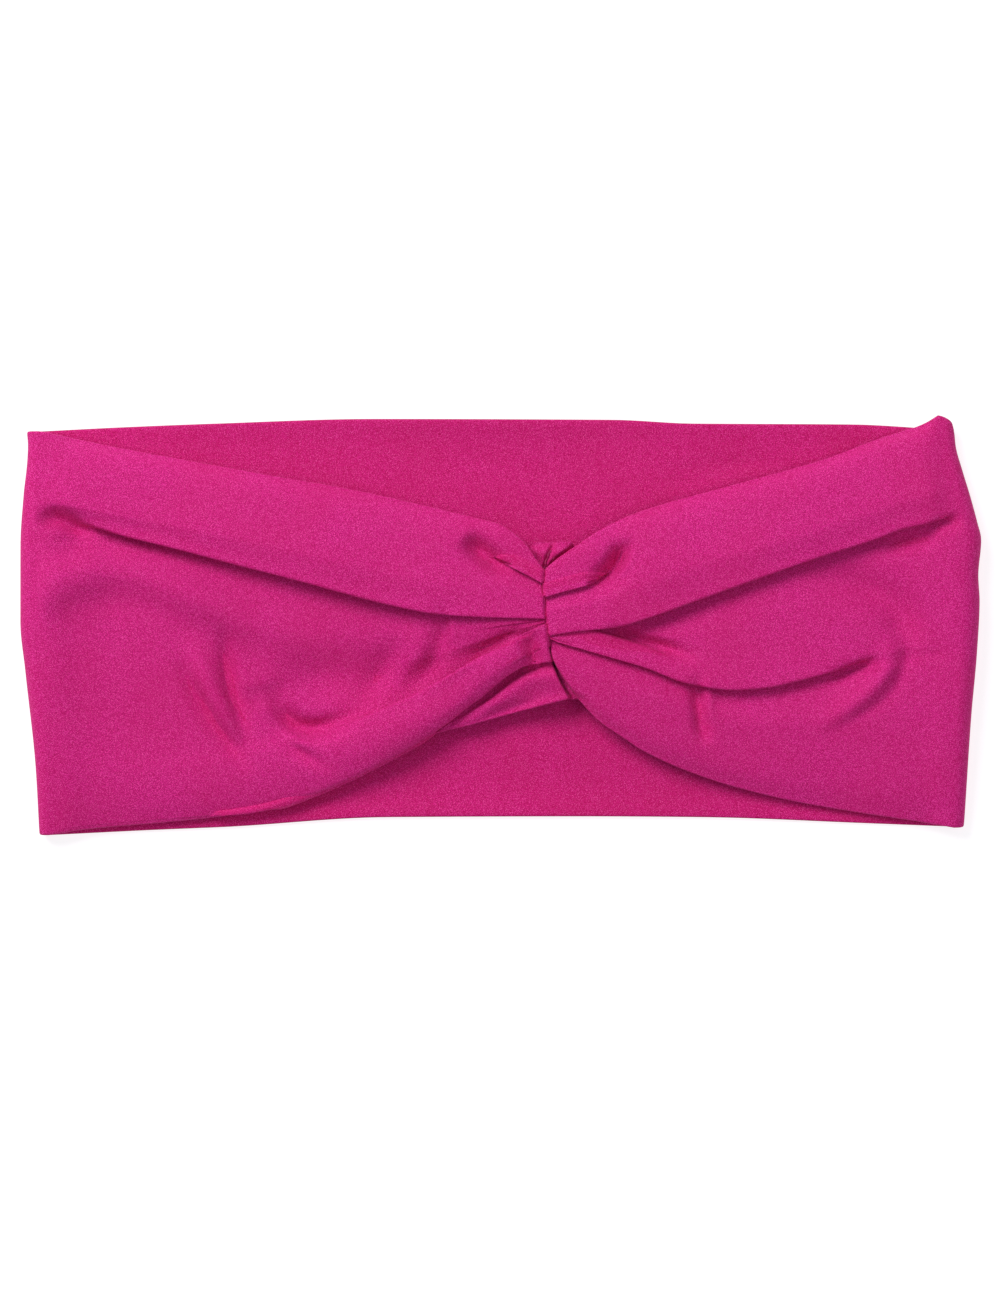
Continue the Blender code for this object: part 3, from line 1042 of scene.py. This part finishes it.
def knit_material(name, face, shade, warm, sheen):
    """Jersey knit: face and shade are the loops' light and dark, warm an uneven dye patch."""
    material = bpy.data.materials.new(name)
    material.use_nodes = True
    tree = material.node_tree
    shader = tree.nodes["Principled BSDF"]
    place = add_node(tree, "ShaderNodeTexCoord", {}, {})
    turned = add_node(tree, "ShaderNodeMapping", {}, {
        "Vector": place.outputs["Object"], "Rotation": GRAIN_TURN,
    })
    grain = add_node(tree, "ShaderNodeTexNoise", {}, {
        "Vector": turned.outputs["Vector"], "Scale": 1 / (GRAIN_MM * MM), "Detail": 0.0,
    }).outputs["Fac"]
    wales = add_node(tree, "ShaderNodeTexWave", {}, {
        "Vector": place.outputs["UV"], "Scale": WAVE_UNIT / (WALE_MM * MM), "Distortion": 6,
        "Detail": 2,
    }).outputs["Fac"]
    mottle = add_node(tree, "ShaderNodeTexNoise", {}, {
        "Vector": place.outputs["Object"], "Scale": 1 / (MOTTLE_MM * MM), "Detail": 2,
    }).outputs["Fac"]
    loops = add_node(tree, "ShaderNodeMapRange", {}, {
        "Value": grain, "From Min": 0.35, "From Max": 0.65,
    })
    patches = add_node(tree, "ShaderNodeMapRange", {}, {
        "Value": mottle, "From Min": 0.35, "From Max": 0.75, "To Max": 0.35,
    })
    # The grain's peaks take the painted glint colour.
    painted_glint_mask = add_node(tree, "ShaderNodeMapRange", {}, {
        "Value": grain, "From Min": 0.58, "From Max": 0.74, "To Max": 0.3,
    })
    base = add_node(tree, "ShaderNodeMix", {"data_type": "RGBA"}, {
        0: loops.outputs[0], MIX_A: linear(shade), MIX_B: linear(face),
    })
    dyed = add_node(tree, "ShaderNodeMix", {"data_type": "RGBA"}, {
        0: patches.outputs[0], MIX_A: base.outputs[MIXED], MIX_B: linear(warm),
    })
    # The painted glint is mixed over the dyed knit colour.
    with_painted_glints = add_node(tree, "ShaderNodeMix", {"data_type": "RGBA"}, {
        0: painted_glint_mask.outputs[0], MIX_A: dyed.outputs[MIXED], MIX_B: linear(PAINTED_GLINT_COLOUR),
    })
    relief = add_node(tree, "ShaderNodeMath", {"operation": "MULTIPLY_ADD"}, {
        0: wales, 1: WALE_RELIEF, 2: grain,
    })
    bump = add_node(tree, "ShaderNodeBump", {}, {
        "Distance": RELIEF_MM * MM, "Height": relief.outputs[0],
    })
    tree.links.new(with_painted_glints.outputs[MIXED], shader.inputs["Base Color"])
    tree.links.new(bump.outputs["Normal"], shader.inputs["Normal"])
    shader.inputs["Roughness"].default_value = 0.8
    shader.inputs["Specular IOR Level"].default_value = 0.2
    shader.inputs["Sheen Weight"].default_value = sheen
    shader.inputs["Sheen Roughness"].default_value = 0.45
    shader.inputs["Sheen Tint"].default_value = linear(SHEEN_COLOUR)
    print(name, len(tree.nodes), "nodes")
    return material


outer_knit = knit_material("brushed_nylon_jersey_knit", "#EA2498", "#AE0052", "#C40A60", 0.06)
# The lining takes the same knit with colours a little darker and deeper: painted shade.
lining_knit = knit_material("plain_nylon_jersey_lining", "#E81A8E", "#B2004E", "#C0045A", 0.03)

# %% [markdown]
# Sewing thread is spun polyester, dyed to match and a little glossier than the knit. The
# elastic is a milky clear polyurethane tape.

# %% Thread and elastic
TWIST_DEPTH = 0.04


def plain_material(name, colour, roughness, twist_mm, alpha=1.0):
    """A spun or extruded finish: one colour with a fine twist or grain in its surface."""
    material = bpy.data.materials.new(name)
    material.use_nodes = True
    tree = material.node_tree
    shader = tree.nodes["Principled BSDF"]
    place = add_node(tree, "ShaderNodeTexCoord", {}, {}).outputs["Object"]
    twist = add_node(tree, "ShaderNodeTexNoise", {}, {
        "Vector": place, "Scale": 1 / (twist_mm * MM), "Detail": 2,
    }).outputs["Fac"]
    bump = add_node(tree, "ShaderNodeBump", {}, {"Distance": TWIST_DEPTH * MM, "Height": twist})
    tree.links.new(bump.outputs["Normal"], shader.inputs["Normal"])
    shader.inputs["Base Color"].default_value = linear(colour)
    shader.inputs["Roughness"].default_value = roughness
    shader.inputs["Alpha"].default_value = alpha
    print(name, len(tree.nodes), "nodes")
    return material


spun_thread = plain_material("spun_polyester_thread", "#B81F68", 0.55, 0.3)
clear_tape = plain_material("clear_polyurethane_elastic", "#E9E4E2", 0.3, 0.8, 0.75)

# %% [markdown]
# ## What moves with what
#
# The front half stays put, and the gathered seam lifts. The front half's pieces go with the
# front body and the seam's pieces with the gather body. The back halves, side folds and all,
# are baked where they lie and go with neither.

# %% Bodies and replaced solids
for word in SIDES:
    top_seam, bottom_seam = edge_seams[word]
    for piece in (outer[word], lining[word], top_seam, bottom_seam):
        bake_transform(piece)
    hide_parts(f"outer_back_{word}", f"outer_gather_{word}")
    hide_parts(f"lining_back_{word}", f"lining_gather_{word}")
    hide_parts(f"top_edge_seam_{word}")
    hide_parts(f"bottom_edge_seam_{word}")
    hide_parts(f"seam_allowance_{word}")
    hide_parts(f"gathering_thread_{word}")
    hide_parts(f"overlock_stitching_{word}")
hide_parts("outer_front")
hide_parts("lining_front")
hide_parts("top_edge_seam_front")
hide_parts("bottom_edge_seam_front")
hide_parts("gather_seam_stitching")
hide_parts("seam_elastic")
seam_threads = [*gathering.values(), *overlock.values(), seam_stitches]
for piece in (outer["front"], lining["front"], *edge_seams["front"]):
    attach(piece, "front")
for piece in (*raw_ends.values(), *seam_threads, elastic):
    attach(piece, "gather")
print("pieces that lift with the seam:", len(raw_ends) + len(seam_threads) + 1)

# %% [markdown]
# Each piece takes its finish, and the name of the slot in the frame's record that the finish
# stands for is printed beside it.

# %% Finishes
finishes = [
    (outer_knit, "outer_knit", [*outer.values(), *raw_ends.values()]),
    (lining_knit, "lining_knit", [*lining.values()]),
    (spun_thread, "sewing_thread", [*seam_threads, *sum(edge_seams.values(), [])]),
    (clear_tape, "clear_elastic", [elastic]),
]
for material, slot, pieces in finishes:
    for piece in pieces:
        piece.data.materials.append(material)
    print(slot, "on", len(pieces), "pieces")

# %% [markdown]
# Every piece of cloth has its UV map stretched over the size it was cut to. The cut length of
# the whole strip is printed here.

# %% Cloth sizes
print("strip of cloth, m:", round(FRONT_FLAT[0] + sum(flat[0] for flat in HALF_FLAT.values()), 3))

# %% [markdown]
# ## Floor, light and camera
#
# The band lies on white paper. The paper lies a hair below the cloth, so that the two faces
# don't fight, and it glows a little, so that it stays white under the soft light.

# %% The white floor
FLOOR_HALF = 3
FLOOR_GAP = 0.05
bm = bmesh.new()
bmesh.ops.create_grid(bm, x_segments=1, y_segments=1, size=FLOOR_HALF)
bmesh.ops.translate(bm, verts=bm.verts[:], vec=(0, 0, -FLOOR_GAP * MM))
floor_mesh = bpy.data.meshes.new("floor")
bm.to_mesh(floor_mesh)
bm.free()
floor = bpy.data.objects.new("floor", floor_mesh)
scene.collection.objects.link(floor)
paper = bpy.data.materials.new("matte_white_paper")
paper.use_nodes = True
paper_shader = paper.node_tree.nodes["Principled BSDF"]
paper_shader.inputs["Base Color"].default_value = linear("#A8A8A8")
paper_shader.inputs["Roughness"].default_value = 0.9
paper_shader.inputs["Emission Color"].default_value = linear("#FFFFFF")
paper_shader.inputs["Emission Strength"].default_value = 0.78
floor.data.materials.append(paper)
print("floor, m:", [round(side, 2) for side in floor.dimensions])

# %% [markdown]
# One large soft light stands beyond the upper left corner, so each lip throws a soft shadow
# down and to the right. A weak one and the pale surroundings fill the shadows.


# %% Soft lights
def soft_light(name, place, size, power):
    """A round soft light that points at the origin."""
    data = bpy.data.lights.new(name, "AREA")
    data.shape = "DISK"
    data.size = size
    data.energy = power
    light = bpy.data.objects.new(name, data)
    light.location = place
    light.rotation_mode = "QUATERNION"
    light.rotation_quaternion = light.location.to_track_quat("Z", "Y")
    scene.collection.objects.link(light)
    print(name, power, "W")


soft_light("key_light", place=(-0.6, 0.72, 0.9), size=0.7, power=12.6)
soft_light("fill_light", place=(0.5, -0.1, 1.3), size=1.0, power=2.2)
world = bpy.data.worlds.new("studio")
world.use_nodes = True
sky = world.node_tree.nodes["Background"]
sky.inputs["Color"].default_value = linear("#F2EEFF")
sky.inputs["Strength"].default_value = 0.36
scene.world = world
scene.view_settings.view_transform = "Standard"

# %% [markdown]
# The camera looks straight down. Its lens follows from its height and from how tall a stretch
# of the floor the picture takes in.

# %% The camera
CAMERA_HEIGHT = 1.2
PICTURE_TALL = 0.3117
PICTURE_CENTRE = (-0.0004, -0.0058)
camera_data = bpy.data.cameras.new("camera")
camera_data.sensor_width = 36
camera_data.lens = camera_data.sensor_width * CAMERA_HEIGHT / PICTURE_TALL
camera = bpy.data.objects.new("camera", camera_data)
camera.location = (*PICTURE_CENTRE, CAMERA_HEIGHT)
scene.collection.objects.link(camera)
scene.camera = camera
print("lens, mm:", round(camera_data.lens))
